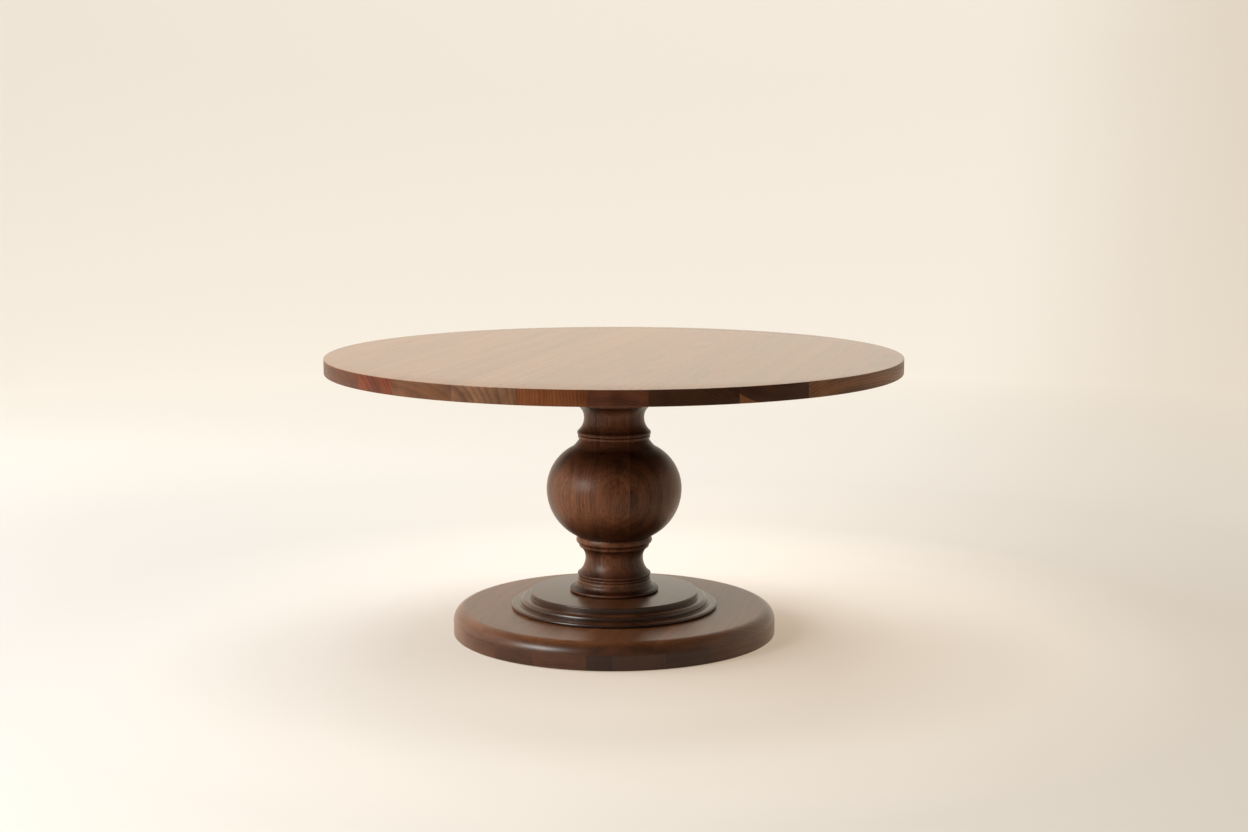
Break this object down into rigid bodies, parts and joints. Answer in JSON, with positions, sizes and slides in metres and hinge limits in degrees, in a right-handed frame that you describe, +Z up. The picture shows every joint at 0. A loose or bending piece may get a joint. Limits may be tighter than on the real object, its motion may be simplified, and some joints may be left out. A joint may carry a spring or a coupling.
{
  "type": "tilt top table",
  "caption": "Round pedestal dining table with a plank top that tilts up on pivot bolts and locks down with a spring catch.",
  "frame": {"origin": "centre of the table on the floor", "axes": "+Z up; +Y along the boards and the tilt axis; -X towards the catch"},
  "size_m": [1.524, 1.524, 0.75],
  "materials": {
    "top_walnut": "satin lacquered walnut, boards of varied tone",
    "tongue_wood": "bare plywood",
    "block_walnut": "satin lacquered walnut",
    "column_walnut": "satin lacquered turned walnut",
    "step_walnut": "satin lacquered turned walnut",
    "plinth_walnut": "satin lacquered walnut",
    "steel": "zinc plated steel",
    "brass": "satin brass",
    "felt": "dark green felt",
    "nylon": "matt black nylon"
  },
  "bodies": {
    "base": {"head_block": "block_walnut", "pivot_bolt_front": "steel", "pivot_bolt_back": "steel", "pivot_washers": "steel", "block_screws": "steel", "platform_screws": "steel", "tie_rod": "steel", "tie_rod_nuts": "steel", "strike_plate": "brass", "strike_screws": "brass", "pivot_inserts": "brass", "rest_pads": "felt", "stop_pads": "felt", "column_cap": "column_walnut", "capital": "column_walnut", "upper_collar": "column_walnut", "bulb": "column_walnut", "lower_collar": "column_walnut", "lower_neck": "column_walnut", "foot_ring": "column_walnut", "step_disc": "step_walnut", "step_base": "step_walnut", "plinth_board_1": "plinth_walnut", "plinth_board_2": "plinth_walnut", "plinth_board_3": "plinth_walnut", "plinth_board_4": "plinth_walnut", "plinth_board_5": "plinth_walnut", "plinth_stave_1": "plinth_walnut", "plinth_stave_2": "plinth_walnut", "plinth_stave_3": "plinth_walnut", "plinth_stave_4": "plinth_walnut", "plinth_stave_5": "plinth_walnut", "plinth_stave_6": "plinth_walnut", "plinth_stave_7": "plinth_walnut", "plinth_stave_8": "plinth_walnut", "glides": "nylon"},
    "top": {"top_board_1": "top_walnut", "top_board_2": "top_walnut", "top_board_3": "top_walnut", "top_board_4": "top_walnut", "top_board_5": "top_walnut", "top_board_6": "top_walnut", "top_board_7": "top_walnut", "top_board_8": "top_walnut", "top_board_9": "top_walnut", "top_board_10": "top_walnut", "top_splines": "tongue_wood", "batten_front": "block_walnut", "batten_back": "block_walnut", "batten_screws": "steel", "batten_washers": "steel", "pivot_bush_front": "brass", "pivot_bush_back": "brass", "catch_plate": "brass", "catch_case": "brass", "catch_screws": "brass", "catch_spring": "steel"},
    "catch_bolt": {"catch_bolt": "brass", "catch_knob": "brass"}
  },
  "joints": [
    {"name": "top_tilt", "type": "hinge", "parent": "base", "child": "top", "pos_m": [0.2, 0, 0.688], "axis": [0, 1, 0], "range_deg": [0, 90]},
    {"name": "catch_slide", "type": "slide", "parent": "top", "child": "catch_bolt", "axis": [-1, 0, 0], "range_m": [0, 0.015], "stiffness_N_per_m": 400, "springref_m": -0.01, "deforming": ["catch_spring"]}
  ]
}
